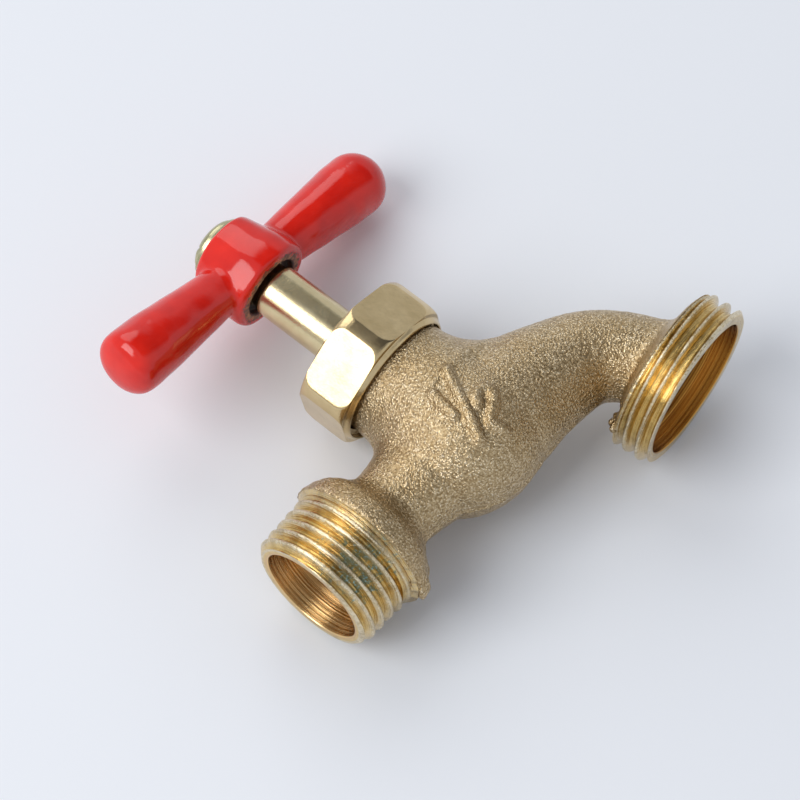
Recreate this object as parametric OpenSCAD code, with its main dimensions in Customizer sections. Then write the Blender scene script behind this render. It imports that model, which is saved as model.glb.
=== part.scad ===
// Hose bib: a garden tap with a male pipe inlet, a curved spout that ends in a male hose thread,
// a rising stem under a hexagonal cap nut, and a two-armed handle.
// The X axis runs along the inlet, from its end face into the body. Z is the stem's axis direction,
// and the body is symmetrical about the plane Y = 0. Threads are plain cylinders of their outside size.

/* [Inlet] */
// Outside diameter of the male pipe thread
inlet_thread_d = 20.95; // [19.5:0.05:22]
// Length of thread from the end face to the collar
inlet_thread_len = 9.3; // [7:0.1:11]
// Bore machined into the inlet
inlet_bore_d = 16.4; // [12:0.1:17]
// Depth of that bore
inlet_bore_depth = 8.6; // [5:0.1:10]
// Lead-in chamfer of the pipe thread
inlet_chamfer = 0.8; // [0.3:0.1:1.2]
// Largest diameter of the cast collar behind the pipe thread
collar_d = 22.9; // [22.2:0.1:26]
// Length of the collar, down to the waist
collar_len = 7.4; // [6:0.1:9]
// Depth of the sloping face that the thread die leaves on the front of the collar
collar_slope = 1.1; // [0.5:0.1:1.4]
// Outside diameter of the waist between collar and globe
waist_d = 13.7; // [12.5:0.1:16]

/* [Globe and spout] */
// Distance from the inlet's end face to the stem's axis
stem_x = 34.6; // [33:0.1:40]
// Diameter of the globe round the valve seat
globe_d = 23; // [21.5:0.1:26]
// Diameter of the spout where it bends down
spout_d = 13.5; // [13:0.1:15]
// Distance from the inlet's end face to the centre of the outlet
outlet_x = 62.6; // [60:0.1:70]
// Depth of the outlet's end face below the inlet's axis
outlet_drop = 21.7; // [20:0.1:26]
// Angle by which the outlet leans forward from straight down
outlet_tilt = 4; // [0:0.5:10]

/* [Outlet] */
// Outside diameter of the male hose thread
hose_thread_d = 27; // [26:0.05:27.5]
// Length of the hose thread from the end face
hose_thread_len = 5.7; // [5:0.1:9]
// Lead-in chamfer of the hose thread
hose_chamfer = 0.9; // [0.3:0.1:1.2]
// Bore at the outlet's mouth
outlet_bore_d = 22.4; // [20:0.1:23]
// Depth of the bore at the mouth
outlet_bore_depth = 2.8; // [2:0.1:4]
// Smaller bore behind it
outlet_step_d = 19.6; // [16:0.1:19.8]
// Depth of the smaller bore from the end face
outlet_step_depth = 5; // [4.2:0.1:6]

/* [Neck] */
// Outside diameter of the cast neck
neck_d = 19.4; // [19.2:0.1:19.9]
// Sideways shift of the cast neck from the machined axis
neck_shift = 0.4; // [0:0.05:0.4]
// Height of the cast neck above the inlet's axis
neck_top = 13.3; // [13.1:0.1:13.8]
// Outside diameter of the neck's thread, which takes the cap nut
neck_thread_d = 19; // [18:0.1:19.1]
// Height of the neck's machined top face
neck_face = 18; // [17:0.1:18.5]

/* [Seat and water ways] */
// Diameter of the hole through the valve seat
seat_hole_d = 9; // [7:0.1:9.6]
// Outside diameter of the raised seat ring
seat_ring_d = 11.6; // [10.6:0.1:12]
// Height of the seat's face above the inlet's axis
seat_face = 1.2; // [0.8:0.1:1.6]
// Height of the seat ring above the chamber's floor
seat_rise = 0.9; // [0.4:0.1:1.1]
// Thickness of the wall that carries the seat
seat_wall = 1.5; // [1:0.1:2]
// Diameter of the valve chamber over the seat
chamber_d = 15.2; // [14.8:0.1:16]
// Diameter of the cored passages in the inlet and the spout
passage_d = 9; // [7:0.1:9.4]

/* [Cap nut] */
// Hexagon across flats
nut_flats = 22.2; // [22:0.1:24]
// Height of the nut's underside above the inlet's axis
nut_bottom = 13; // [12.8:0.05:13.05]
// Height of the nut from its underside to its flat top
nut_h = 10.3; // [9.8:0.1:11.5]
// Inside diameter of the plain rim below the nut's thread
nut_rim_bore_d = 20.6; // [20.4:0.1:20.8]
// Thickness of the nut's roof over the packing
nut_roof = 2; // [1.5:0.1:2.2]
// Radius of the hexagon's rounded corners
nut_corner = 2; // [0.5:0.1:3]
// Turn of the hexagon about the stem, from the inlet's direction to a corner
nut_turn = 20; // [0:1:60]

/* [Stem] */
// Diameter of the polished shank
stem_d = 8.4; // [7.5:0.1:9]
// Diameter of the coarse stem thread
stem_thread_d = 14; // [13:0.1:14.6]
// Length of the stem from the top of its thread to its shoulder
shank_len = 20; // [18:0.1:24]
// Rise of the stem in one turn
lead = 2; // [1:0.1:3]
// Turns from the modelled position down to the closed seat
turns_to_close = 2.5; // [1:0.1:2.5]
// Turns from the modelled position up to the open stop
turns_to_open = 0.4; // [0.1:0.1:0.5]
// Square on top of the stem, across flats
square = 5.6; // [4.5:0.1:5.8]
// Length of the square above the shoulder
square_len = 9.6; // [8:0.1:9.8]
// Diameter of the collar above the shoulder, which the handle sits on
seat_collar_d = 7.4; // [6.8:0.1:7.8]

/* [Seat washer and packing] */
// Outside diameter of the rubber seat washer
washer_d = 12.4; // [11.8:0.1:12.6]
// Thickness of the seat washer
washer_t = 3; // [2:0.1:3.5]
// Depth of the cup that holds the seat washer
cup_depth = 1.2; // [0.8:0.1:1.8]
// Reach of the packing past the stem's thread, on each side
packing_lip = 0.3; // [0.1:0.1:0.4]
// Thickness of the brass gland washer under the packing
gland_t = 1; // [0.6:0.1:1.5]
// Diameter of the screws' threads
screw_d = 3.5; // [3:0.1:3.8]
// Depth of the seat screw's hole in the stem
seat_screw_depth = 7; // [5:0.1:9]
// Depth of the handle screw's hole in the stem
handle_screw_depth = 7.5; // [6:0.1:9]

/* [Handle] */
// Length of the handle from tip to tip
handle_len = 61.6; // [52:0.2:76]
// Diameter of a grip where it leaves the hub
grip_root_d = 7.4; // [6:0.1:8.4]
// Diameter of a grip near its end
grip_end_d = 10.4; // [8.5:0.1:12]
// Hub across its flats
hub_flats = 14.8; // [13.4:0.1:17]
// Height of the hub
hub_h = 10.3; // [10:0.1:13]
// Depth of the recess under the hub, round the stem
hub_recess = 1; // [0.5:0.1:1.5]
// Height of the grips' centre line above the hub's underside
grip_height = 4.8; // [4.4:0.1:6]
// Turn of the handle about the stem, from the inlet's direction
handle_turn = 16; // [0:1:90]
// Diameter of the domed head of the handle's screw
screw_head_d = 9; // [7:0.1:10]
// Diameter of the plated washer under that head
handle_washer_d = 10.2; // [9.6:0.1:11]
// Thickness of that washer
handle_washer_t = 0.6; // [0.5:0.1:1.2]

/* [Hidden] */

run = 0.05;          // radial clearance of a running fit
screw_play = 0.02;   // radial clearance of a screw in its hole
seat_gap = 0.05;     // gap between flat faces that may slide
eps = 0.01;
$fn = 72;

brass = "#b9a468";
cast_brass = "#9c8560";
red = "#d52a1e";
rubber = "#2b2b2b";
plated = "#b8bcbc";

// heights along the stem's axis at the modelled position
chamber_floor = seat_face - seat_rise;
under_top = chamber_floor - seat_wall;
thread_top = neck_face - seat_gap - turns_to_open * lead;
shoulder = thread_top + shank_len;
washer_bottom = seat_face + seat_gap + turns_to_close * lead;
cup_roof = washer_bottom + washer_t + seat_gap;
drum_top = thread_top;
drum_bottom = cup_roof - cup_depth;
square_top = shoulder + square_len;
hub_bottom = shoulder + 0.3;
handle_seat = hub_bottom + hub_recess;
hub_top = hub_bottom + hub_h;
gland_top = neck_face + gland_t;
nut_top = nut_bottom + nut_h;
nut_ceiling = nut_top - nut_roof;
neck_bore_bottom = 9;
washer_hole_d = screw_d + 0.6;
packing_d = stem_thread_d + 2 * packing_lip;

// outlet end: local z runs from the end face back into the spout
module at_outlet() {
    translate([outlet_x, 0, -outlet_drop])
        rotate([0, -outlet_tilt, 0])
            children();
}
function outlet_point(d) = [
    outlet_x - d * sin(outlet_tilt),
    -outlet_drop + d * cos(outlet_tilt)
];
module on_x(x = 0) translate([x, 0, 0]) rotate([0, 90, 0]) children();
module on_stem(z = 0) translate([stem_x, 0, z]) children();

// ---------------------------------------------------------------- cast body

// Centre line of the casting from the waist through the globe to the outlet, as
// [x, z, half height, half width]
waist_r = waist_d / 2;
globe_r = globe_d / 2;
spout_r = spout_d / 2;
waist_x = inlet_thread_len + collar_len;
spout_end = outlet_point(hose_thread_len + 0.9);
function round_at(x, z, r) = [x, z, r, r];
centre_line = [
    round_at(waist_x - 5, 0, waist_r),
    round_at(waist_x + 1.6, 0, waist_r),
    round_at(stem_x - 9.8, -0.3, waist_r + (globe_r - waist_r) * 0.27),
    round_at(stem_x - 1.5, -0.5, globe_r),
    round_at(stem_x + 5.5, -1.5, globe_r * 0.905),
    round_at(stem_x + 12.2, -2.8, spout_r * 1.33),
    round_at(outlet_x - 7.4, -5.6, spout_r * 1.09),
    round_at(outlet_x - 3.1, -9.7, spout_r * 1.01),
    round_at(spout_end.x, spout_end.y, spout_r * 1.02)
];
steps = 4;           // rings between two points of a centre line
sides = 30;          // corners of each ring of the casting
core_sides = 20;     // corners of each ring of a cored passage

// Catmull-Rom curve through a list of points: place u between points i and i + 1
function at(list, i) = list[max(0, min(len(list) - 1, i))];
function between(a, b, c, d, u) =
    0.5 * (2 * b + (c - a) * u + (2 * a - 5 * b + 4 * c - d) * u * u + (3 * b - a - 3 * c + d) * u * u * u);
function curve(list) = [
    for (i = [0 : len(list) - 2], k = [0 : steps - 1])
        between(at(list, i - 1), at(list, i), at(list, i + 1), at(list, i + 2), k / steps),
    list[len(list) - 1]
];

// Oval sections of a centre line in the plane Y = 0, each square to the line
function ring(p, tangent, sides) =
    let (t = tangent / norm(tangent))
    [for (k = [0 : sides - 1])
        let (a = 360 * (k + 0.5) / sides)
        [p.x - t.y * p[2] * cos(a), p[3] * sin(a), p.y + t.x * p[2] * cos(a)]];
function rings_of(list, sides) =
    let (c = curve(list), n = len(c))
    [for (i = [0 : n - 1])
        let (t = c[min(n - 1, i + 1)] - c[max(0, i - 1)])
        ring(c[i], [t.x, t.y], sides)];

// Closed skin over a stack of rings that all have the same number of corners
module skin(rings) {
    m = len(rings[0]);
    n = len(rings);
    points = [for (r = rings) each r];
    walls = [
        for (i = [0 : n - 2], k = [0 : m - 1])
            let (a = i * m + k, b = i * m + (k + 1) % m)
            each [[a, b, b + m], [a, b + m, a + m]]
    ];
    ends = [[for (k = [m - 1 : -1 : 0]) k], [for (k = [0 : m - 1]) (n - 1) * m + k]];
    polyhedron(points, concat(walls, ends), convexity = 6);
}

// The neck runs into the globe and the spout in a blend. A point of its skin is where the distances
// to the round neck and to the casting's skin, blended over the length k, come to nothing. Each point
// is looked for along a ray that rises at an angle from a centre inside the globe.
blend_in = 5;        // blend length on the inlet's side
blend_out = 6;       // blend length on the spout's side
blend_z = 5.5;       // height below which the neck draws in and the blend dies away
blend_inset = 0.3;   // depth at which the skirt's foot runs in under the casting's skin
casting = curve(centre_line);
// balls that fill the casting: where its radius changes along the line, a ball is smaller than the ring
balls = [
    for (i = [0 : len(casting) - 1])
        let (c = casting[i], d = at(casting, i + 1) - at(casting, i - 1), slope = d[2] / norm([d.x, d.y]))
        [c.x, c.y, c[2] / sqrt(1 + slope * slope)]
];
function skin_gap(p) = min([for (b = balls) norm([p.x - b.x, p.y, p.z - b.y]) - b[2]]);
function blended(a, b, k) = min(a, b) - pow(max(0, k - abs(a - b)), 2) / (4 * k);
function neck_point(a, rise, rho) =
    [stem_x + neck_shift + rho * cos(a), rho * sin(a), seat_face + rho * tan(rise)];
function skirt_r(a, rise, k, low, high, n = 12) =
    n == 0 ? low :
    let (rho = (low + high) / 2, p = neck_point(a, rise, rho))
    blended(rho - neck_d / 2 + max(0, blend_z - p.z), skin_gap(p) + blend_inset, k) < 0
        ? skirt_r(a, rise, k, rho, high, n - 1) : skirt_r(a, rise, k, low, rho, n - 1);
module neck_skirt() {
    top_rise = atan((neck_top - seat_face) / (neck_d / 2));
    low_rise = -12;
    bands = 9;
    foot_r = neck_d / 4;
    skin(concat(
        [[for (i = [0 : sides - 1]) neck_point(-360 * i / sides, 2 * low_rise, foot_r)]],
        [
            for (j = [0 : bands - 1])
                let (rise = low_rise + (top_rise - low_rise) * j / bands)
                [for (i = [0 : sides - 1])
                    let (a = -360 * i / sides, k = blend_in + (blend_out - blend_in) * (1 + cos(a)) / 2)
                    neck_point(a, rise, skirt_r(a, rise, k, neck_d / 2 - 1, neck_d / 2 + 1.2 * k))]
        ],
        [[for (i = [0 : sides - 1]) neck_point(-360 * i / sides, top_rise, neck_d / 2)]]
    ));
}

module inlet_outside() {
    r = inlet_thread_d / 2;
    c = collar_d / 2;
    x0 = inlet_thread_len;
    k = (collar_len - 1.3) / 6.1;
    on_x() rotate_extrude() polygon([
        [0, 0], [r - inlet_chamfer, 0], [r, inlet_chamfer], [r, x0],
        [c - 0.12, x0 + collar_slope], [c, x0 + collar_slope + 0.15], [c, x0 + 1.8],
        [c - 0.35, x0 + 1.3 + 1.9 * k], [c - 0.95, x0 + 1.3 + 3.2 * k],
        [c - 1.9, x0 + 1.3 + 4.2 * k], [c - 3.1, x0 + 1.3 + 5 * k],
        [waist_r + 0.4, x0 + collar_len], [waist_r - 0.6, x0 + collar_len + 1.1], [0, x0 + collar_len + 1.1]
    ]);
}

module outlet_outside() {
    r = hose_thread_d / 2;
    at_outlet() rotate_extrude() polygon([
        [0, 0], [r - hose_chamfer, 0], [r, hose_chamfer], [r, hose_thread_len],
        [r - 0.9, hose_thread_len + 0.4], [r - 3, hose_thread_len + 1.1],
        [r - 4.8, hose_thread_len + 1.6], [spout_r + 0.5, hose_thread_len + 2.4],
        [spout_r - 0.8, hose_thread_len + 3.4], [0, hose_thread_len + 3.4]
    ]);
}

// Cored passages along their centre lines, as [x, z, half height, half width]
core_r = passage_d / 2;
under_seat_z = under_top - core_r + 0.2;
chamber_r = chamber_d / 2;
inlet_way = [
    round_at(inlet_bore_depth + 0.8, 0, core_r),
    round_at(waist_x + 1, -0.1, core_r),
    [stem_x - 13, -0.9, core_r * 0.93, core_r],
    [stem_x - 10.2, -3.5, core_r * 0.76, core_r],
    [stem_x - 6.5, under_seat_z + 0.6, core_r * 0.78, core_r],
    [stem_x - 1, under_seat_z, core_r - 0.2, core_r]
];
outlet_back = outlet_point(outlet_step_depth + 5);
outlet_mouth = outlet_point(outlet_step_depth + 1);
outlet_way = [
    [stem_x + chamber_r - 4, chamber_floor + 3.7, 2.8, core_r],
    [stem_x + chamber_r + 2, chamber_floor + 1.2, 3.4, core_r],
    [stem_x + chamber_r + 7, -3.1, core_r * 0.95, core_r],
    round_at(outlet_x - 8.6, -5.5, core_r),
    round_at(outlet_x - 3.8, -9.4, core_r),
    round_at(outlet_back.x, outlet_back.y, core_r),
    round_at(outlet_mouth.x, outlet_mouth.y, core_r + 0.4)
];

module water_ways() {
    // inlet: machined bore, drilled cone, then the cored passage down under the seat
    on_x(-eps) cylinder(d = inlet_bore_d, h = inlet_bore_depth + eps);
    on_x(inlet_bore_depth - eps) cylinder(d1 = inlet_bore_d, d2 = passage_d - 0.4, h = 2.6);
    skin(rings_of(inlet_way, core_sides));
    // the hole through the seat, down into the inlet's passage
    on_stem(under_seat_z) cylinder(d = seat_hole_d, h = seat_face - under_seat_z + 1);
    // the valve chamber, with the seat ring left standing on its floor
    difference() {
        on_stem(chamber_floor) cylinder(d = chamber_d, h = neck_bore_bottom - 1 - chamber_floor);
        on_stem(chamber_floor - 1) cylinder(d = seat_ring_d, h = seat_rise + 1);
    }
    on_stem(neck_bore_bottom - 1) cylinder(d1 = chamber_d, d2 = stem_thread_d + 2 * run, h = 1);
    on_stem(neck_bore_bottom) cylinder(d = stem_thread_d + 2 * run, h = neck_face - neck_bore_bottom + 1);
    // outlet: over the seat, down the spout and out through a stepped bore
    skin(rings_of(outlet_way, core_sides));
    at_outlet() {
        translate([0, 0, -1]) cylinder(d = outlet_bore_d, h = outlet_bore_depth + 1);
        cylinder(d = outlet_step_d, h = outlet_step_depth);
        translate([0, 0, outlet_step_depth])
            cylinder(d1 = outlet_step_d, d2 = passage_d - 0.4, h = 3.2);
    }
}

module body() {
    color(cast_brass) difference() {
        union() {
            inlet_outside();
            skin(rings_of(centre_line, sides));
            neck_skirt();
            on_stem(neck_top - 2) cylinder(d = neck_thread_d, h = neck_face - neck_top + 2);
            outlet_outside();
        }
        water_ways();
    }
}

// ---------------------------------------------------------------- cap nut and packing

module cap_nut() {
    corner_r = nut_flats / sqrt(3) - 0.2;
    flat_r = nut_flats / 2;
    color(brass) difference() {
        intersection() {
            on_stem() rotate(nut_turn) linear_extrude(nut_top + 1) polygon([
                for (k = [0 : 60 : 300], a = [-30 : 10 : 30])
                    (flat_r - nut_corner) / cos(30) * [cos(k), sin(k)] + nut_corner * [cos(k + a), sin(k + a)]
            ]);
            on_stem(nut_bottom) rotate_extrude() polygon([
                [0, 0], [flat_r - 0.45, 0], [flat_r, 0.8], [corner_r, 1.7], [corner_r, nut_h - 2.2],
                [flat_r, nut_h - 1.3], [flat_r - 2.1, nut_h - 0.4], [flat_r - 4.4, nut_h], [0, nut_h]
            ]);
        }
        on_stem(nut_bottom - 1) cylinder(d = nut_rim_bore_d, h = neck_top + 0.3 - nut_bottom + 1);
        on_stem(nut_bottom) cylinder(d = neck_thread_d + 2 * run, h = gland_top + 0.1 - nut_bottom);
        on_stem(nut_bottom) cylinder(d = packing_d + 2 * run, h = nut_ceiling - nut_bottom);
        on_stem(nut_bottom) cylinder(d = stem_d + 2 * run, h = nut_h + 1);
    }
}

module packing() {
    color("#d8d2c0") on_stem(gland_top) difference() {
        cylinder(d = packing_d, h = nut_ceiling - gland_top);
        translate([0, 0, -1]) cylinder(d = stem_d + 2 * run, h = nut_h);
    }
}

module gland_washer() {
    color(brass) on_stem(neck_face) difference() {
        cylinder(d = neck_thread_d - 0.6, h = gland_t);
        translate([0, 0, -1]) cylinder(d = stem_d + 2 * run, h = gland_t + 2);
    }
}

// ---------------------------------------------------------------- stem and seat washer

module stem() {
    round_over = 0.7;
    color(brass) difference() {
        union() {
            on_stem() rotate_extrude() polygon([
                [0, drum_bottom], [stem_thread_d / 2, drum_bottom], [stem_thread_d / 2, drum_top - 0.6],
                [stem_thread_d / 2 - 0.6, drum_top], [stem_d / 2, drum_top],
                [stem_d / 2, shoulder - round_over],
                for (a = [15 : 15 : 90]) [
                    stem_d / 2 - round_over * (1 - cos(a)), shoulder - round_over * (1 - sin(a))
                ],
                [0, shoulder]
            ]);
            on_stem(shoulder - eps) cylinder(d = seat_collar_d, h = handle_seat - shoulder + eps);
            on_stem(shoulder - eps) rotate(handle_turn)
                translate([-square / 2, -square / 2, 0]) cube([square, square, square_len + eps]);
        }
        on_stem(drum_bottom - 1) cylinder(d = washer_d + 0.2, h = cup_depth + 1);
        on_stem(cup_roof - 1) cylinder(d = screw_d, h = 1 + seat_screw_depth);
        on_stem(square_top - handle_screw_depth) cylinder(d = screw_d, h = handle_screw_depth + 1);
    }
}

module seat_washer() {
    color(rubber) on_stem(washer_bottom) difference() {
        cylinder(d = washer_d, h = washer_t);
        translate([0, 0, -1]) cylinder(d = washer_hole_d, h = washer_t + 2);
    }
}

// Screw that holds the seat washer: a thin slotted head below the washer, its shank up in the stem
module seat_screw() {
    head_t = 0.3 * screw_d;
    head_top = washer_bottom - seat_gap;
    color(brass) on_stem() difference() {
        union() {
            translate([0, 0, head_top - head_t]) cylinder(d1 = 1.55 * screw_d, d2 = 1.9 * screw_d, h = head_t);
            translate([0, 0, head_top - eps])
                cylinder(d = screw_d - 2 * screw_play, h = cup_roof + seat_screw_depth - 0.5 - head_top);
        }
        translate([-0.12 * screw_d, -screw_d, head_top - 1.5 * head_t])
            cube([0.24 * screw_d, 2 * screw_d, head_t]);
    }
}

// ---------------------------------------------------------------- handle

// Both grips: one turned form that swells from the hub to its round ends
module grips() {
    end_r = grip_end_d / 2;
    root_r = grip_root_d / 2;
    centre = handle_len / 2 - end_r;
    side = [
        [root_r, 0], [root_r, hub_flats / 2 - 1.5], [end_r - 0.12, centre - 3],
        for (a = [0 : 10 : 90]) [end_r * cos(a), centre + end_r * sin(a)]
    ];
    other = [for (i = [len(side) - 1 : -1 : 1]) [side[i].x, -side[i].y]];
    rotate([0, 90, 0]) rotate_extrude() polygon(concat(side, other));
}

module handle() {
    flat_r = hub_flats / 2;
    corner_r = flat_r / cos(22.5);
    color(red) on_stem(hub_bottom) rotate(handle_turn) difference() {
        union() {
            intersection() {
                rotate(22.5) linear_extrude(hub_h) circle(r = corner_r, $fn = 8);
                rotate_extrude() polygon([
                    [0, 0], [flat_r - 0.4, 0], [corner_r + 0.3, 1.3], [corner_r + 0.3, hub_h * 0.6],
                    [corner_r - 0.5, hub_h * 0.74], [corner_r - 1.3, hub_h * 0.88], [flat_r - 1.9, hub_h],
                    [0, hub_h]
                ]);
            }
            translate([0, 0, grip_height]) grips();
        }
        translate([0, 0, -1]) cylinder(d = stem_d + 1.6, h = hub_recess + 1);
        translate([-square / 2 - run, -square / 2 - run, -1])
            cube([square + 2 * run, square + 2 * run, hub_h + 2]);
    }
}

module handle_washer() {
    color(plated) on_stem(hub_top) difference() {
        cylinder(d1 = handle_washer_d, d2 = handle_washer_d - 0.8, h = handle_washer_t);
        translate([0, 0, -1]) cylinder(d = screw_d + 0.4, h = handle_washer_t + 2);
    }
}

module handle_screw() {
    head_r = screw_head_d / 2;
    dome = 1.6;
    under = hub_top + handle_washer_t;
    ball_r = (head_r * head_r + dome * dome) / (2 * dome);
    color(plated) on_stem() {
        difference() {
            translate([0, 0, under]) rotate_extrude() polygon([
                [0, 0], [head_r - 0.1, 0], [head_r, 0.25],
                for (k = [1 : 8])
                    let (a = asin(head_r / ball_r) * (1 - k / 8))
                    [ball_r * sin(a), 0.25 + dome - ball_r * (1 - cos(a))]
            ]);
            translate([-0.5, -head_r - 1, under + dome - 0.55]) cube([1, 2 * head_r + 2, 2]);
        }
        translate([0, 0, square_top - handle_screw_depth + 0.5])
            cylinder(d = screw_d - 2 * screw_play, h = under + 0.2 - square_top + handle_screw_depth - 0.5);
    }
}

body();
cap_nut();
packing();
gland_washer();
stem();
seat_washer();
seat_screw();
handle();
handle_washer();
handle_screw();
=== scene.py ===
# %% [markdown]
# # A hose bib in Blender
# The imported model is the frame: it says where each solid is and which body it moves with.
# The pieces that the eye sees are worked out below as surfaces, with numpy, in that same frame,
# and each finish is a small tree of shader nodes. Shapes are worked out in millimetres, because
# that is how a valve is drawn, and become metres, Blender's own unit, when a mesh is made.
# Finishes, lamps and camera are in metres from the start.

import bmesh
import bpy
import numpy as np
from mathutils import Matrix, Vector


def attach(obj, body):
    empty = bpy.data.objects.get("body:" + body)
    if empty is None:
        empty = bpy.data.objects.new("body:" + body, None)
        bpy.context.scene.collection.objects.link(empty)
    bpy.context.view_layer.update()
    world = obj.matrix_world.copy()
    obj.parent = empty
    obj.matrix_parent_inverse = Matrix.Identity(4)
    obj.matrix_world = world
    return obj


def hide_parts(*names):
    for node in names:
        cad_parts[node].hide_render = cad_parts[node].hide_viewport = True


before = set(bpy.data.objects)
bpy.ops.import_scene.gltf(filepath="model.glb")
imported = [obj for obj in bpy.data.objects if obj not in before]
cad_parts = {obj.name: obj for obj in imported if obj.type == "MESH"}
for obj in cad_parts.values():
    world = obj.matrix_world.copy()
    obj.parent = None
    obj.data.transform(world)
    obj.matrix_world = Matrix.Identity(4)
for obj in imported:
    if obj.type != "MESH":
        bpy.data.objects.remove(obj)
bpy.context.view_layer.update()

# %% [markdown]
# ## The camera
# The valve lies on its side on a table and a long lens looks down on it from one corner, so
# parallel edges stay nearly parallel. Three directions turn the camera: image right, image up
# and the way back to the lens, each written in the valve's own frame.

# %% Camera
right = (0.64204, -0.02130, -0.76638)
up = (0.67802, -0.45085, 0.58054)
back = (-0.35788, -0.89235, -0.27502)
lens_at = (-0.14235, -0.43628, -0.12388)
camera = bpy.data.objects.new("camera", bpy.data.cameras.new("camera"))
bpy.context.scene.collection.objects.link(camera)
bpy.context.scene.camera = camera
camera.data.sensor_width = 36
camera.data.lens = 148.5
camera.data.clip_start = 0.01
view_turn = Matrix((right, up, back)).transposed().to_4x4()
camera.matrix_world = Matrix.Translation(lens_at) @ view_turn
print("lens", camera.data.lens, "mm, at", tuple(round(v, 3) for v in camera.location))

# %% [markdown]
# ## Small tools for shapes
# Every piece ends in the same way: points in millimetres and faces become a closed mesh in
# metres. Points that fall together at a pole or a seam are merged, and the enclosed volume tells
# whether the faces point outwards: it is negative when they point in, and then they are flipped.

# %% Points and faces into a piece
mm = 0.001  # metres
one_point = 1e-7  # metres: points closer than this are merged


def enclosed(points, faces):
    """Volume inside a closed mesh: each four-cornered face is cut in two triangles, and a
    triangle adds a sixth of the product a . (b x c) of its corners."""
    a, b, c, d = (points[faces[:, k]] for k in range(4))
    return float(((a * np.cross(b, c)).sum() + (a * np.cross(c, d)).sum()) / 6)


def piece(name, points, faces, crisp=None, **values):
    """Makes a mesh object. crisp is the angle in degrees above which an edge stays sharp, and
    each of values is one number per point, kept as an attribute that a material can read."""
    volume = enclosed(points, faces)
    if volume < 0:
        faces = faces[:, ::-1]
    mesh = bpy.data.meshes.new(name)
    mesh.from_pydata((points * mm).tolist(), [], faces.tolist())
    for label, value in values.items():
        kept = mesh.attributes.new(label, "FLOAT", "POINT")
        kept.data.foreach_set("value", np.asarray(value, np.float32).ravel())
    work = bmesh.new()
    work.from_mesh(mesh)
    bmesh.ops.remove_doubles(work, verts=work.verts, dist=one_point)
    loose = [v for v in work.verts if not v.link_faces]
    bmesh.ops.delete(work, geom=loose, context="VERTS")
    odd_edges = sum(not e.is_manifold for e in work.edges)
    work.to_mesh(mesh)
    work.free()
    mesh.shade_smooth()
    if crisp:
        mesh.set_sharp_from_angle(angle=np.radians(crisp))
    made = bpy.data.objects.new(name, mesh)
    bpy.context.scene.collection.objects.link(made)
    print(f"{name}: {len(mesh.polygons)} faces, {abs(volume):.0f} mm3, "
          f"{odd_edges} edges not between two faces")
    return made


print("shapes in millimetres become meshes in metres, times", mm)

# %% [markdown]
# ## Turned surfaces
# A lathe makes most of a valve. A turned piece is a grid: its rows follow a closed profile of
# radius and height, and its columns go once round the axis. When the radius also depends on the
# column, the same grid makes threads and hexagons. Corners of a profile are softened a little,
# because no machined edge is perfectly sharp, and the softened edge is what catches the light.

# %% Profiles and grids
def soften(corners, cut, points=5, most=0.45):
    """Rounds a closed profile: each corner is cut back by `cut` along both sides, never past
    `most` of a side, and bridged by the parabola (1-u)^2 A + 2u(1-u) C + u^2 B, where C is the
    old corner."""
    c = np.asarray(corners, float)
    cut = np.broadcast_to(np.asarray(cut, float), len(c))[:, None]
    before, after = np.roll(c, 1, 0) - c, np.roll(c, -1, 0) - c
    lb = np.linalg.norm(before, axis=1, keepdims=True)
    la = np.linalg.norm(after, axis=1, keepdims=True)
    a = c + before / lb * np.minimum(cut, most * lb)
    b = c + after / la * np.minimum(cut, most * la)
    u = np.linspace(0, 1, points)[:, None, None]
    bridge = (1 - u) ** 2 * a + 2 * u * (1 - u) * c + u * u * b
    return bridge.transpose(1, 0, 2).reshape(-1, 2)


def divided(profile, step):
    """Adds points along a closed profile, so that no side is longer than `step`."""
    p = np.asarray(profile, float)
    q = np.roll(p, -1, 0)
    n = np.maximum(1, np.ceil(np.linalg.norm(q - p, axis=1) / step).astype(int))
    side = np.repeat(np.arange(len(p)), n)
    share = (np.arange(n.sum()) - np.repeat(np.cumsum(n) - n, n)) / n[side]
    return p[side] + (q - p)[side] * share[:, None]


def grid_faces(rows, columns):
    """Four-cornered faces between the neighbours of a grid that closes on itself both ways."""
    i, j = np.meshgrid(np.arange(rows), np.arange(columns), indexing="ij")
    k, m = (i + 1) % rows, (j + 1) % columns
    corners = [i * columns + j, i * columns + m, k * columns + m, k * columns + j]
    return np.stack(corners, -1).reshape(-1, 4)


class Axis:
    """A turning axis: a start point, the direction of height, and the direction of angle 0."""

    def __init__(self, start, along, zero):
        self.start, self.along, self.zero = (np.asarray(v, float) for v in (start, along, zero))
        self.along /= np.linalg.norm(self.along)
        self.side = np.cross(self.along, self.zero)

    def at(self, height):
        """Point on the axis: start + height * along."""
        return self.start + height * self.along

    def place(self, radius, angle, height):
        """Point = start + height * along + radius * (cos(angle) * zero + sin(angle) * side)."""
        out = self.start + height[..., None] * self.along
        spoke = np.cos(angle)[..., None] * self.zero + np.sin(angle)[..., None] * self.side
        return out + radius[..., None] * spoke

    def measure(self, points):
        """Radius, angle and height of points about this axis, the reverse of place."""
        from_start = points - self.start
        a, b = from_start @ self.zero, from_start @ self.side
        return np.hypot(a, b), np.arctan2(b, a), from_start @ self.along


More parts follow.
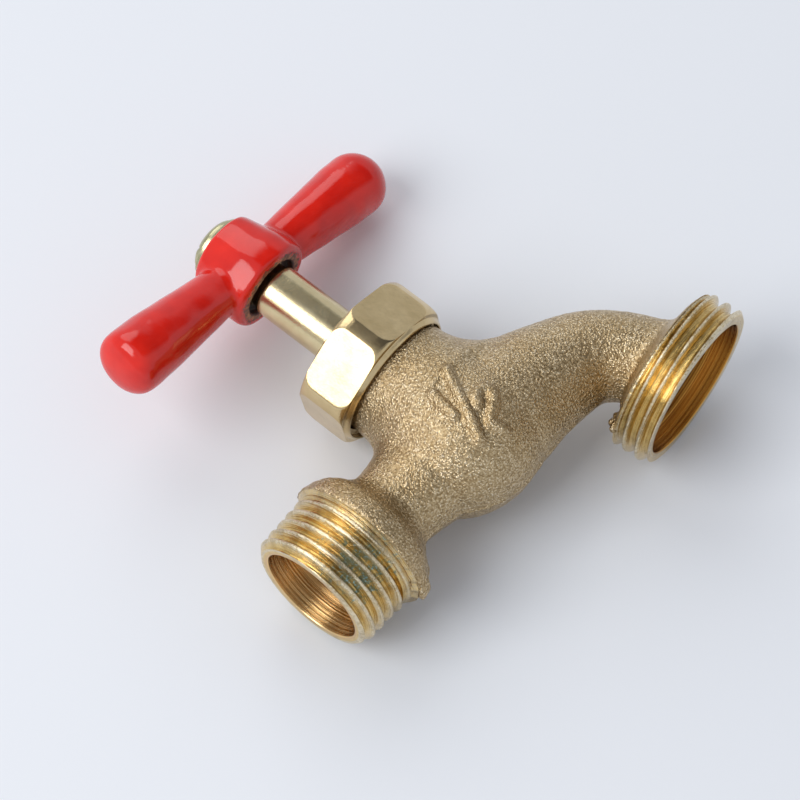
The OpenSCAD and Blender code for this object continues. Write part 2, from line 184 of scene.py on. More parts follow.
def turn(name, axis, profile, columns, reshape=None, crisp=None):
    """Turns a closed profile of [radius, height] about an axis. reshape(radius, angle, height)
    may return new radii and heights for the grid, and a dictionary of values that its points
    keep."""
    profile = np.asarray(profile, float)
    angle = np.broadcast_to(np.arange(columns) * 2 * np.pi / columns, (len(profile), columns))
    radius, height = (np.repeat(profile[:, k : k + 1], columns, 1) for k in (0, 1))
    values = {}
    if reshape:
        radius, height, values = reshape(radius, angle, height)
    points = axis.place(radius, angle, height).reshape(-1, 3)
    return piece(name, points, grid_faces(*radius.shape), crisp, **values)


# %% The three axes
stem_x, outlet_x, outlet_z = 34.6, 62.6, -21.7
tilt = np.radians(4)
inlet = Axis((0, 0, 0), (1, 0, 0), (0, 0, 1))
spindle = Axis((stem_x, 0, 0), (0, 0, 1), (1, 0, 0))
outlet = Axis(
    (outlet_x, 0, outlet_z),
    (-np.sin(tilt), 0, np.cos(tilt)),
    (-np.cos(tilt), 0, -np.sin(tilt)),
)
print("the inlet lies along", inlet.along, "the stem along", spindle.along)
print("the outlet looks along", -outlet.along.round(3))

# %% [markdown]
# ## Surfaces from a distance
# A sand casting has no edges of its own: pipe, globe, neck and collar melt into each other. Such
# a form is easiest to say as a function of space that is below zero inside the metal. Two forms
# join softly when the smaller of their distances is lowered near the place where they are equal.
# The surface is then found on a grid of small cells: each cell that the surface crosses gets
# one point, in the middle of its crossings, and four points round each crossed edge get a face.

# %% Joining distances
def soft_min(a, b, k):
    """The smaller of two distances, less (k - |a - b|)^2 / 4k where they differ by less than k,
    which fills the corner between two forms with a fillet about k wide."""
    return np.minimum(a, b) - np.maximum(0, k - np.abs(a - b)) ** 2 / (4 * k)


def soft_max(a, b, k):
    """The larger of two distances, which rounds the edge where one form is cut by another."""
    return -soft_min(-a, -b, k)


def curve(points, steps):
    """Catmull-Rom curve through rows of numbers: between two rows each value follows the cubic
    that leaves and arrives with half the difference of its neighbours."""
    p = np.asarray(points, float)
    n = len(p)
    i = np.repeat(np.arange(n - 1), steps)
    u = np.tile(np.arange(steps) / steps, n - 1)[:, None]
    a, b, c, d = (p[np.clip(i + k, 0, n - 1)] for k in (-1, 0, 1, 2))
    bend, twist = 2 * a - 5 * b + 4 * c - d, 3 * b - a - 3 * c + d
    q = 0.5 * (2 * b + (c - a) * u + bend * u**2 + twist * u**3)
    return np.vstack([q, p[-1:]])


def balls_along(line):
    """Balls [x, z, radius] that fill a pipe of rings [x, z, radius]. Where the pipe widens, the
    ball that touches its wall is smaller than the ring by sqrt(1 + slope^2)."""
    step = np.gradient(line, axis=0)
    slope = step[:, 2] / np.hypot(step[:, 0], step[:, 1])
    return np.column_stack([line[:, :2], line[:, 2] / np.sqrt(1 + slope**2)])


def pipe(points, balls, flat=1.0):
    """Distance to the nearest of many balls in the plane y = 0. flat below 1 makes the pipe wider
    in y."""
    x, y, z = points[:, 0], points[:, 1] * flat, points[:, 2]
    nearest = np.full(len(points), 1e3, points.dtype)
    for bx, bz, br in balls:
        np.minimum(nearest, np.sqrt((x - bx) ** 2 + y * y + (z - bz) ** 2) - br, out=nearest)
    return nearest


print("two forms, both 1 mm away, joined with k = 1 mm, are", soft_min(1.0, 1.0, 1.0), "mm away")

# %% From a distance to a mesh
def slope_of(form, points, reach=0.02):
    """Slope of a form at points, by differences over a small reach in x, y and z."""
    steps = np.eye(3) * reach
    return np.stack([form(points + s) - form(points - s) for s in steps], -1) / (2 * reach)


def outward(form, points):
    """The way out of the metal at points of a form's surface: its slope, made one unit long."""
    slope = slope_of(form, points)
    return slope / np.maximum(np.linalg.norm(slope, axis=1, keepdims=True), 1e-6)


def wrap(form, low, high, step, rounds=3):
    """Surface nets. The form is sampled on a grid, and where it changes sign between two
    neighbours the crossing lies at a / (a - b) of the way. A cell's point is the mean of its
    crossings, and is then pulled onto the surface by Newton steps of at most 0.4 of a cell:
    point - slope * value / |slope|^2."""
    axes = [np.arange(l, h + step, step) for l, h in zip(low, high)]
    shape = [len(a) for a in axes]
    value = np.empty(shape, np.float32)
    yz = np.stack(np.meshgrid(axes[1], axes[2], indexing="ij"), -1).reshape(-1, 2)
    for part in np.array_split(np.arange(shape[0]), max(1, shape[0] // 8)):
        box = np.column_stack([np.repeat(axes[0][part], len(yz)), np.tile(yz, (len(part), 1))])
        value[part] = form(box.astype(np.float32)).reshape(len(part), *shape[1:])
    cells, places, quads = [], [], []
    for k in range(3):
        others = [m for m in range(3) if m != k]
        first = value.take(np.arange(shape[k] - 1), k)
        last = value.take(np.arange(1, shape[k]), k)
        cut = np.argwhere((first < 0) != (last < 0))
        a, b = (v[tuple(cut.T)] for v in (first, last))
        place = cut.astype(float)
        place[:, k] += a / (a - b)
        round_edge = []
        for du, dv in ((0, 0), (1, 0), (1, 1), (0, 1)):
            cell = cut.copy()
            cell[:, others[0]] -= du
            cell[:, others[1]] -= dv
            round_edge.append(np.ravel_multi_index(tuple(cell.T), shape))
            cells.append(round_edge[-1])
            places.append(place)
        face = np.stack(round_edge, -1)
        flip = (a < 0) == (k == 1)
        face[flip] = face[flip][:, ::-1]
        quads.append(face)
    number, at = np.unique(np.concatenate(cells), return_inverse=True)
    places, count = np.concatenate(places), np.bincount(at)
    means = [np.bincount(at, places[:, m]) / count for m in range(3)]
    points = np.stack(means, -1) * step + np.array(low)
    least_slope, longest = 0.05, 0.4 * step
    for _ in range(rounds):
        g = slope_of(form, points)
        move = -g * (form(points) / np.maximum((g * g).sum(1), least_slope))[:, None]
        far = np.maximum(np.linalg.norm(move, axis=1), 1e-9)
        points += move * np.minimum(1, longest / far)[:, None]
    return points, np.searchsorted(number, np.concatenate(quads))


def waves(points, size, count, seed):
    """Random relief between about -1 and 1: the mean of many plane waves whose crests stand about
    `size` apart, in directions and phases drawn from a seeded generator."""
    draw = np.random.default_rng(seed)
    way = draw.normal(size=(count, 3))
    way /= np.linalg.norm(way, axis=1, keepdims=True)
    length = 2 * np.pi / (size * draw.uniform(0.75, 1.5, count))
    phase = draw.uniform(0, 2 * np.pi, count)
    return np.sin((points @ (way * length[:, None]).T) + phase).sum(1) * np.sqrt(2 / count) / 2


print("a form is wrapped in cells, and each crossed cell holds one point")

# %% [markdown]
# ## The cast body
# The body is sand-cast brass: a pipe that swells into the globe under the stem and bends down to
# the hose outlet, a neck that carries the nut, a collar where the inlet starts and a flare where
# the hose thread starts. The rings of its centre line are the ones of the solid model. The
# collar and the flare are turned profiles, and so are the bores, which are taken away.

# %% The outside of the casting
waist_x, waist_r, globe_r, spout_r = 16.7, 6.85, 11.5, 6.75
hose_len = 5.7
end = outlet.at(hose_len + 0.9)
centre_line = [
    (waist_x - 5, 0, waist_r),
    (waist_x + 1.6, 0, waist_r),
    (stem_x - 9.8, -0.3, waist_r + (globe_r - waist_r) * 0.27),
    (stem_x - 1.5, -0.5, globe_r),
    (stem_x + 5.5, -1.5, globe_r * 0.905),
    (stem_x + 12.2, -2.8, spout_r * 1.33),
    (outlet_x - 7.4, -5.6, spout_r * 1.09),
    (outlet_x - 3.1, -9.7, spout_r * 1.01),
    (end[0], end[2], spout_r * 1.02),
]
run = balls_along(curve(centre_line, 12))
neck_x, neck_r, neck_top, neck_face, blend_z = stem_x + 0.4, 9.7, 13.3, 18.0, 5.5
thread_depth, fillet, more_fillet = 0.2, 4.4, 0.5


def neck(points):
    """Round neck, drawn in below blend_z and by its thread's depth above neck_top. The second
    result is the width of its fillet, which is wider towards the spout than to the inlet."""
    x, y, z = points.T
    rho = np.hypot(x - neck_x, y)
    wide = fillet + more_fillet * (1 + (x - neck_x) / np.maximum(rho, 1e-3))
    thread = np.where(z > neck_top, thread_depth, 0)
    return np.maximum(rho - neck_r + thread + np.maximum(0, blend_z - z), z - neck_face), wide


# Height along the axis and radius of two turned forms
collar = np.array([
    (8.6, 9.6), (9.4, 10.6), (10.2, 11.4), (10.7, 11.45), (11.2, 11.45), (12.4, 11.15),
    (13.8, 10.5), (14.8, 9.55), (15.6, 8.35), (16.9, 7.25), (17.9, 6.3),
])
flare = np.array([
    (5.6, 12.75), (5.9, 12.7), (6.3, 12.25), (6.8, 10.6), (7.3, 8.8), (8.2, 7.2), (9.2, 6.0),
])


def turned_form(axis, points, table):
    """A turned form: radius less the profile's radius at that height, over sqrt(1 + slope^2),
    and nothing outside its ends."""
    radius, _, height = axis.measure(points)
    level = np.interp(height, table[:, 0], table[:, 1])
    steep = np.interp(height, table[:, 0], np.abs(np.gradient(table[:, 1], table[:, 0])))
    body = (radius - level) / np.sqrt(1 + steep**2)
    return np.maximum(body, np.maximum(table[0, 0] - height, height - table[-1, 0]))


print(len(run), "balls fill the pipe, with radii up to", run[:, 2].max().round(2), "mm")

# %% [markdown]
# ### Marks that the mould leaves
# Two halves of a sand mould meet on the plane that holds both axes, so a low seam runs along the
# body there, with ragged flash at the collar and behind the hose thread where sand broke away.
# The pipe size stands raised on the side: plain numerals for half an inch, drawn as strokes.

# %% Seam, flash and numerals
strokes = [  # x and z of each stroke's points
    [(32.1, 4.3), (31.5, 2.0), (31.3, -0.3)],
    [(36.4, 5.2), (34.2, 1.3), (32.5, -2.4), (31.1, -5.4)],
    [(34.8, -1.9), (35.4, -0.9), (36.4, -0.5), (37.7, -0.8), (38.1, -2.0), (36.9, -3.4),
     (35.1, -4.4), (33.9, -5.2)],
    [(33.9, -5.2), (34.8, -7.0)],
]
legs = np.array([(a, b) for s in strokes for a, b in zip(s[:-1], s[1:])])
nubs = [  # depth, radius from the outlet's axis, y, size
    (6.4, 11.2, -0.5, 0.75), (6.6, 12.0, 0.1, 0.65), (7.0, 11.5, 0.6, 0.6),
    (6.1, 12.8, 0.2, 0.5), (7.0, 10.8, -0.3, 0.5), (6.2, 12.4, -0.8, 0.5),
    (7.1, 12.1, -0.2, 0.4), (6.3, 13.0, -0.3, 0.38),
]
stroke_high, stroke_half = 0.75, 1.05
seam_high, seam_half = 0.28, 0.45
sweep_r, sweep_x, sweep = 10.15, 9.2, 1.25  # where the die swept up, and how far


def to_strokes(points):
    """Distance in the side view, in x and z, to the nearest stroke: a point is dropped square
    onto the line from a to b, and kept between its ends."""
    nearest = np.full(len(points), 1e3, points.dtype)
    for a, b in legs:
        along = b - a
        px, pz = points[:, 0] - a[0], points[:, 2] - a[1]
        share = np.clip((px * along[0] + pz * along[1]) / (along @ along), 0, 1)
        np.minimum(nearest, np.hypot(px - share * along[0], pz - share * along[1]), out=nearest)
    return nearest


def sweep_front(away):
    """Front of the collar, where the die swept up into it: at a distance from the inlet's axis
    it lies at sweep_x + sweep * ((distance - sweep_r) / sweep)^0.45."""
    return sweep_x + sweep * np.clip((away - sweep_r) / sweep, 0.01, 1) ** 0.45


def outside(points):
    """The casting before it is bored: pipe, neck, collar and flare melt together, the marks of
    the mould are added by lowering the distance, and both ends are cut off."""
    x, y, z = points.T
    round_inlet, away = np.arctan2(y, z), np.hypot(y, z)
    depth = outlet.measure(points)[2]
    form = pipe(points, run)
    rising, wide = neck(points)
    form = soft_min(form, rising, wide)
    form = soft_min(form, turned_form(inlet, points, collar), 0.8)
    form = soft_min(form, turned_form(outlet, points, flare), 0.8)
    # numerals: a round ridge along each stroke, on the side that shows
    ridge = stroke_high * np.clip(1 - (to_strokes(points) / stroke_half) ** 2, 0, 1)
    form = form - np.where(y < -4, ridge, 0)
    # seam: a ragged bead along the plane y = 0, up to the nut
    ragged = 0.6 + 0.4 * np.sin(x * 1.9 + 0.6 * z) * np.sin(z * 1.3 - 0.4 * x + 1)
    form = form - seam_high * ragged * np.exp(-((y / seam_half) ** 2)) * (z < 12)
    # flash: a lobe on the collar, large below and small above, and a rippled lip round it
    lobe = np.exp(-(((x - 11.1) / 1.7) ** 4) - ((y + 0.6) / 2.0) ** 2)
    form = form - lobe * np.where(z < 0, 1.15, 0.25)
    lip = np.exp(-(((x - 10.6) / 0.5) ** 2))
    form = form - 0.14 * (lip * np.sin(9 * round_inlet + 2) * np.sin(23 * round_inlet))
    # nubs: a cluster of small balls behind the hose thread
    across = points @ outlet.zero - outlet.start @ outlet.zero
    for d, r, side, size in nubs:
        lump = np.sqrt((depth - d) ** 2 + (across - r) ** 2 + (y - side) ** 2)
        form = soft_min(form, lump - size, 0.35)
    # front: the die's sweep, pushed forwards at the lobe; back: flat behind the hose thread
    on_lobe = np.where(z < 0, np.exp(-(((y + 0.6) / 1.8) ** 2)), 0)
    bent = np.clip((away - 11.3) / 0.9, 0, 1) * on_lobe
    face = sweep_front(away) + 0.14 - 0.8 * bent + 0.05 * np.sin(11 * round_inlet) - x
    front = np.minimum(face, np.maximum(away - 8.6, 8.55 - x))
    back = np.where(z < -14, 5.6 - depth, -9)
    return np.maximum(form, np.maximum(front, back))


print(len(legs), "straight legs draw the numerals, and", len(nubs), "nubs the flash")

# %% The ways for the water
core_r, chamber_r, seat_face, floor_z = 4.5, 7.6, 1.2, 0.3
under_seat = -1.2 - core_r + 0.2
way_in = balls_along(curve([
    (9.4, 0, core_r), (17.7, -0.1, core_r), (21.6, -0.9, core_r * 0.93),
    (24.4, -3.5, core_r * 0.76), (28.1, under_seat + 0.6, core_r * 0.78),
    (33.6, under_seat, core_r - 0.2)], 6))
throat, mouth = outlet.at(10.0), outlet.at(6.0)
way_out = balls_along(curve([
    (stem_x + chamber_r - 4, floor_z + 3.7, 2.8), (stem_x + chamber_r + 2, floor_z + 1.2, 3.4),
    (stem_x + chamber_r + 7, -3.1, core_r * 0.95), (54.0, -5.5, core_r), (58.8, -9.4, core_r),
    (throat[0], throat[2], core_r), (mouth[0], mouth[2], core_r + 0.4)], 6))
bore_ends = (  # axis, radius of the cone at a height, its slope, sqrt(1 + slope^2), low, high
    (inlet, 8.2, 8.6, 1.5, 1.8, 8, 11.5),
    (outlet, 9.8, 5.4, 1.7, 1.97, 4.5, 9),
)


def rod(radius, height, r, low, high):
    """Distance to a round rod of radius r between two heights."""
    return np.maximum(radius - r, np.maximum(low - height, height - high))


def ways(points):
    """Everything that cores and drills leave empty, with the seat ring left standing in the
    chamber. Each bore ends in a drill's cone, whose wall draws in by slope * height."""
    rho, _, z = spindle.measure(points)
    seat_ring = rod(rho, z, 5.8, -2, seat_face)
    chamber = np.maximum(rod(rho, z, chamber_r, floor_z, 9), -seat_ring)
    empty = np.minimum(pipe(points, way_in, 0.86), pipe(points, way_out))
    for more in (chamber, rod(rho, z, 4.5, under_seat, 3), rod(rho, z, 7.05, 8, 30)):
        empty = np.minimum(empty, more)
    for axis, r, at, slope, steep, low, high in bore_ends:
        radius, _, height = axis.measure(points)
        cone = (radius - r + (height - at) * slope) / steep
        empty = np.minimum(empty, np.maximum(cone, np.maximum(low - height, height - high)))
    return empty


print("the water goes in through", len(way_in), "balls and out through", len(way_out))

# %% The casting
def casting_form(points):
    """The casting is what lies in the outside and not in the ways."""
    return np.maximum(outside(points), -ways(points))


relief_high = 0.04  # mm: slow unevenness of the mould, not on machined faces
points, faces = wrap(casting_form, low=(8.1, -14.2, -24.2), high=(77, 14.2, 19), step=0.35)
machined = (points[:, 0] < 10.6) | (outlet.measure(points)[2] < 5.8)
small, broad = waves(points, size=1.1, count=70, seed=3), waves(points, size=4.0, count=40, seed=4)
rise = ((0.6 * small + 0.5 * broad) * np.where(machined, 0.0, relief_high))[:, None]
points += outward(casting_form, points) * rise
casting = piece("casting", points, faces)

# %% [markdown]
# ## The threads
# A die cuts the inlet thread and a lathe cuts the hose thread. Both are turned surfaces whose
# radius also depends on the turn: the phase of the thread is height / pitch - turns, and a
# triangle wave of that phase, flattened at root and crest, is the depth of cut.

# %% Thread shape
def thread_height(height, angle, pitch, start, root, crest):
    """0 at the root and 1 at the crest. `start` is the height of a root at angle 0, and root and
    crest are the flat shares of the pitch. The flank is 0.7 straight and 0.3 an S-shaped step,
    3 cut^2 - 2 cut^3, which rounds its ends."""
    phase = (height - start) / pitch - angle / (2 * np.pi)
    wave = 1 - np.abs(2 * (phase - np.floor(phase)) - 1)
    cut = np.clip((wave - root) / (1 - root - crest), 0, 1)
    return 0.7 * cut + 0.3 * cut * cut * (3 - 2 * cut)


def ripples(angle, height, rows):
    """Unevenness of a worn crest: the sum of size * sin(times * angle + climb * height)."""
    return sum(size * np.sin(times * angle + climb * height) for size, times, climb in rows)


for place_on_pitch in (0.0, 0.5):
    high = thread_height(place_on_pitch, angle=0.0, pitch=1.0, start=0.0, root=0.1, crest=0.1)
    print("at", place_on_pitch, "of the pitch the thread is", high, "high")

# %% Inlet thread
burrs = ((1, 3.04, 0.07), (0.7, 2.80, 0.05), (0.5, 3.3, 0.05))  # size, angle, width


def inlet_cut(radius, angle, height):
    """Taper pipe thread: the crest grows by 1 in 32 along the axis. The first turns are cut away
    by the chamfer, and the last run out into the collar's face, which follows the die's sweep
    and carries the burrs."""
    high = thread_height(height, angle, pitch=1.93, start=1.87, root=0.1, crest=0.13)
    fade = np.clip((9.7 - height) / 0.7, 0, 1)
    threaded = 10.42 + height / 32 - 1.15 * (1 - high) * fade
    chamfer = 9.45 + 0.95 * height
    worn = ripples(angle, height, ((0.03, 7, 2), (0.02, 17, 5), (0.012, 61, 0)))
    slope = sweep_r + sweep * np.clip((height - sweep_x) / sweep, 0, 1) ** 2.2
    burr = sum(size * np.exp(-(((angle - at) / wide) ** 2)) for size, at, wide in burrs)
    slope = slope + 0.5 * burr * np.clip((height - 9.3) / 0.9, 0, 1)
    cut = (radius > 9.0) & (height > 0.02) & (height < 10.44)
    grooved = np.minimum(threaded + worn * high, chamfer)
    new = np.where(cut, np.maximum(grooved, np.where(height > 8.6, slope, 0)), radius)
    new = np.where(cut & (height > 9.75), slope, new)
    crest = np.where(cut & (threaded < chamfer), high * fade + 0.6 * (1 - fade), 0.9)
    crest = np.where(radius < 9, 0.0, crest)
    return new, height, {"crest": crest, "bore": np.where(radius < 8.6, 1.0, 0.0)}


inlet_profile = divided(soften([
    (8.2, 0.15), (8.35, 0.0), (9.45, 0.0), (10.4, 0.9), (10.6, 9.6),
    (11.38, 10.42), (11.2, 10.75), (9.0, 10.8), (8.6, 9.75), (8.2, 9.7),
], [
    0.05, 0.05, 0.1, 0.05, 0.05,
    0.06, 0.1, 0.1, 0.1, 0.1,
]), 0.095)
inlet_thread = turn("inlet_thread", inlet, inlet_profile, columns=240, reshape=inlet_cut, crisp=60)

# %% Hose thread
def outlet_cut(radius, angle, height):
    """Hose thread: coarse and round, with narrow crests, wide flat roots and a worn start. Its
    last turn ends at a torn face, about 12.7 mm from the axis."""
    outer = radius > 12.0
    high = thread_height(height, angle, pitch=2.2, start=0.72, root=0.34, crest=0.1)
    threaded = 13.42 - 1.2 * (1 - high)
    chamfer = 12.85 + 0.85 * height
    worn = ripples(angle, height, ((0.035, 5, 2), (0.02, 19, 4), (0.012, 67, 0)))
    torn = 12.72 + 0.05 * np.sin(23 * angle) * np.sin(31 * angle + 1) + 0.03 * np.sin(71 * angle)
    back = torn - 2.2 * np.clip(5.55 - height, 0, 1)
    new = np.minimum(np.maximum(threaded + worn * high, back), chamfer)
    new = np.where(outer & (height < 5.95) & (height > 0.02), new, radius)
    crest = np.where(back > threaded, 0.85, high)
    crest = np.where(outer & (threaded < chamfer), crest, 1.0)
    crest = np.where(radius < 11.8, 0.0, crest)
    return new, height, {"crest": crest, "bore": np.where(radius < 11.35, 1.0, 0.0)}


outlet_profile = divided(soften([
    (11.2, 0.15), (11.35, 0.0), (12.8, 0.0), (13.4, 0.7), (13.4, 5.9),
    (12.4, 6.0), (9.8, 6.0), (9.8, 2.95), (9.95, 2.8), (11.2, 2.8),
], [
    0.05, 0.05, 0.1, 0.05, 0.02,
    0.1, 0.1, 0.05, 0.05, 0.05,
]), 0.1)
outlet_thread = turn(
    "outlet_thread", outlet, outlet_profile, columns=300, reshape=outlet_cut, crisp=60)

# %% [markdown]
# ## The packing nut
# The nut is turned and milled from hexagon bar. The bar's corners were turned down first, so a
# narrow round band stands between two flats, and both ends are rounded in a way that gives each
# flat four corners of 2 mm radius. The outline is the smaller of the turned radius and the
# hexagon's radius, which is the flat's distance over the cosine of the angle from its middle.

# %% Packing nut
nut_low, nut_high, nut_flat, nut_turn = 13.0, 23.3, 11.1, np.radians(50)
corner_r = 2


def nut_cut(radius, angle, height):
    """Outside the bore: the soft smaller of the turned profile and the hexagon, flat / cos(t),
    where t is the angle from the middle of the nearest flat."""
    t = (angle - nut_turn + np.pi / 6) % (np.pi / 3) - np.pi / 6
    hexagon = soft_min(radius, nut_flat / np.cos(t), 0.08)
    return np.where(radius > 10.32, hexagon, radius), height, {}


inward = np.array([0.02, 0.1, 0.3, 0.6, 1.0, 1.5, 2.0])
half_flat = 5.26 - (corner_r - np.sqrt(corner_r**2 - (corner_r - inward) ** 2))
shoulder_r = np.hypot(nut_flat, half_flat)
top, foot = nut_high - 1.3, nut_low + 0.8
nut_profile = divided(soften([
    (4.3, nut_high - 0.2), (4.5, nut_high), (6.7, nut_high - 0.02), (9.1, nut_high - 0.4),
    (nut_flat, top), *zip(shoulder_r, top - inward),
    *zip(shoulder_r[::-1], foot + inward[::-1]), (nut_flat, foot),
    (10.75, nut_low + 0.2), (10.5, nut_low), (10.3, nut_low + 0.15), (10.3, nut_low + 1),
    (9.55, nut_low + 1.2), (9.55, 19.1), (7.35, 19.2), (7.35, 21.3), (4.3, 21.3),
], [0.1, 0.1, 1.2, 1.2] + [0.1] * 16 + [0.15] + [0.1] * 8, 4), 0.24)
nut = turn("packing_nut", spindle, nut_profile, columns=420, reshape=nut_cut, crisp=60)

# %% [markdown]
# ## The stem
# The stem is turned from brass bar and polished where it slides through the packing. Above its
# shoulder it is milled square for the handle, and below it carries a coarse thread and a cup for
# the seat washer. The square is the same grid with its radius set by four flats.

# %% Stem
drum_low, drum_high, shoulder, seat_top, square_top = 8.1, 17.15, 37.15, 38.45, 46.75
square_half, drum_depth, handle_turn = 2.8, 0.9, np.radians(16)


def stem_cut(radius, angle, height):
    """Four flats, 5.6 mm apart, above the collar, and a coarse thread of 2 mm lead on the
    drum."""
    quarter = (angle - handle_turn + np.pi / 4) % (np.pi / 2) - np.pi / 4
    four = square_half / np.cos(quarter)
    square = (height > seat_top + 0.01) & (radius > 2)
    new = np.where(square, np.minimum(radius, four), radius)
    high = thread_height(height, angle, pitch=2.0, start=9.5, root=0.3, crest=0.3)
    drum = (radius > 6.9) & (height > 10) & (height < 16.4)
    return np.where(drum, 7.0 - drum_depth * (1 - high), new), height, {}


stem_profile = divided(soften([
    (0, 16.3), (1.75, 16.3), (1.75, 9.3), (6.3, 9.3), (6.3, drum_low), (7.0, drum_low),
    (7.0, drum_high - 0.6), (6.4, drum_high), (4.2, drum_high), (4.2, shoulder),
    (3.7, shoulder), (3.7, seat_top), (3.96, seat_top + 0.02), (3.96, square_top - 0.3),
    (3.5, square_top), (1.75, square_top), (1.75, 39.25), (0, 39.25),
], [
    0.0, 0.1, 0.1, 0.1, 0.1, 0.1,
    0.2, 0.2, 0.1, 0.8,
    0.05, 0.02, 0.02, 0.1,
    0.1, 0.1, 0.1, 0.0,
]), 0.35)
stem = turn("stem_turned", spindle, stem_profile, columns=144, reshape=stem_cut, crisp=40)

# %% [markdown]
# ## The handle
# The handle is one small casting under red enamel: two grips that swell to round ends and an
# eight-sided hub between them. The end on the inlet's side is blunter and a little shorter.
# Paint fills the corners, so the handle is made from distances like the body: balls along the
# grips, eight planes for the hub, and a fillet where they meet.

# %% Handle
hub_low, hub_h, flat_r = 37.45, 10.3, 7.5
grip_z = hub_low + 4.8
grip_line = np.array([  # place along the grips, radius
    (-25.6, 5.2), (-22.6, 5.12), (-6.0, 3.72), (0, 3.6), (6.0, 3.72), (22.6, 5.12), (25.6, 5.2),
])
grip_at = np.linspace(-27.4, 25.6, 110)
grip_r = np.interp(grip_at, grip_line[:, 0], grip_line[:, 1])
grip_balls = np.column_stack([grip_at, np.full_like(grip_at, grip_z), grip_r])
hub_profile = np.array([  # height, radius
    (0, 7.0), (0.5, 7.5), (1.3, 8.3), (6.2, 8.3), (7.8, 7.65), (9.2, 6.85), (9.9, 6.2),
    (10.3, 5.6),
])
belly, roller = 2, 13  # height where the facets are widest, and the radius of their roundness
blunt_end, round_end = -29.5, 30.7  # how far the two grips reach


def handle_form(points):
    """Grips, softly joined to the octagonal hub, less the recess under it and the square hole. A
    facet is the side of a roller of 13 mm radius, drawn in by x^2 / 28 away from the height of
    2 mm. The eight facets are joined as (sum of near^60)^(1/60)."""
    x, y, z = points[:, 0] - stem_x, points[:, 1], points[:, 2]
    u = x * np.cos(handle_turn) + y * np.sin(handle_turn)
    v = y * np.cos(handle_turn) - x * np.sin(handle_turn)
    grips = pipe(np.column_stack([u, v, z]), grip_balls)
    grips = soft_max(soft_max(grips, blunt_end - u, 3.2), u - round_end, 0.7)
    rho, height = np.hypot(u, v), z - hub_low
    from_belly = np.abs(height - belly)
    bent = np.minimum(from_belly, 3)
    drawn_in = bent**2 / 28 + (from_belly - bent) * 0.214
    out, side = (
        np.stack([u * np.cos(a) + v * np.sin(a) for a in np.radians(45 * np.arange(8)) + q])
        for q in (0, np.pi / 2)
    )
    near = np.hypot(np.maximum(out, 0) + roller - flat_r, side) - (roller - flat_r) + drawn_in
    near = np.clip(near / flat_r, 0.3, 1.4)
    eight = flat_r * ((near**60).sum(0) ** (1 / 60) - 1)
    round_hub = (rho - np.interp(height, hub_profile[:, 0], hub_profile[:, 1])) / 1.25
    ends = soft_max(height - hub_h, -height, 0.1)
    hub = soft_max(soft_max(eight, round_hub, 0.25), ends, 0.3)
    form = soft_min(grips, hub, 0.9)
    recess = np.maximum(rho - 4.95, height - 1.2)
    square_hole = np.maximum(np.abs(u), np.abs(v)) - 2.85
    return np.maximum(np.maximum(form, -recess), -square_hole)


paint_wave = 0.05  # mm: the paint's slow waves
points, faces = wrap(handle_form, low=(3.2, -14.5, 36.8), high=(66.2, 14.5, 48.6), step=0.3)
rise = (paint_wave * waves(points, size=5, count=40, seed=9))[:, None]
points += outward(handle_form, points) * rise
handle = piece("handle_casting", points, faces)

# %% [markdown]
# ## Washer and screw on top
# A plated washer and a domed, slotted screw hold the handle down. Both are turned; the slot is
# milled into the grid by lowering the points of the dome that lie near its middle line.

# %% Washer and screw
top_z = hub_low + hub_h
washer_profile = [(2.0, top_z), (5.1, top_z), (5.1, top_z + 0.6), (2.0, top_z + 0.6)]
washer_profile = divided(soften(washer_profile, 0.12), 0.4)
washer = turn("handle_washer_turned", spindle, washer_profile, columns=96, crisp=50)
slot_turn, slot_half, slot_wall, slot_floor = 0.6, 0.62, 0.12, top_z + 0.95


def screw_cut(radius, angle, height):
    """The slot: within 0.5 mm of the middle line the dome is lowered to the slot's floor, and up
    to 0.62 mm it slopes down to it."""
    across = np.abs(radius * np.sin(angle - slot_turn))
    slot = np.clip((slot_half - across) / slot_wall, 0, 1)
    lowered = height - (height - slot_floor) * slot
    return radius, np.where(height > slot_floor, lowered, height), {}


around = np.radians(np.arange(90, -1, -6))
dome = [(4.5 * np.sin(a), top_z + 0.85 + 1.6 * np.cos(a)) for a in around]
shank = [(0, 39.8), (1.73, 39.8), (1.73, top_z + 0.62), (4.5, top_z + 0.6)]
screw_profile = divided(shank + dome, 0.25)
screw = turn(
    "handle_screw_turned", spindle, screw_profile, columns=180, reshape=screw_cut, crisp=45)

# %% [markdown]
# ## What each piece stands for and moves with
# A piece rides on one body of the model, and hides the plain solid that it replaces. The small
# parts inside, which only show when the valve is taken apart, keep their own solids.

# %% Bodies
for made, body, node, slot in (
    (casting, "valve", "body", "cast_brass"),
    (inlet_thread, "valve", "body", "cast_brass"),
    (outlet_thread, "valve", "body", "cast_brass"),
    (nut, "valve", "cap_nut", "turned_brass"),
    (stem, "stem", "stem", "turned_brass"),
    (handle, "stem", "handle", "enamel"),
    (washer, "stem", "handle_washer", "plated"),
    (screw, "stem", "handle_screw", "plated"),
):
    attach(made, body)
    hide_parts(node)
print("pieces ride on their bodies")

# %% [markdown]
# ## Small tools for finishes
# Colours are written as they would be picked on a screen, and one function turns them to the
# linear values that Blender mixes. One more adds a node with its settings and links. All
# patterns are sized in lumps per metre, so 2000 is a pattern of half-millimetre grains. The
# numbered sockets are Blender's own: in a Map Range 1 and 2 are the range it reads and 3 and 4
# the range it gives, and in a Mix 0 is the share, 2 and 3 are numbers and 6 and 7 are colours.

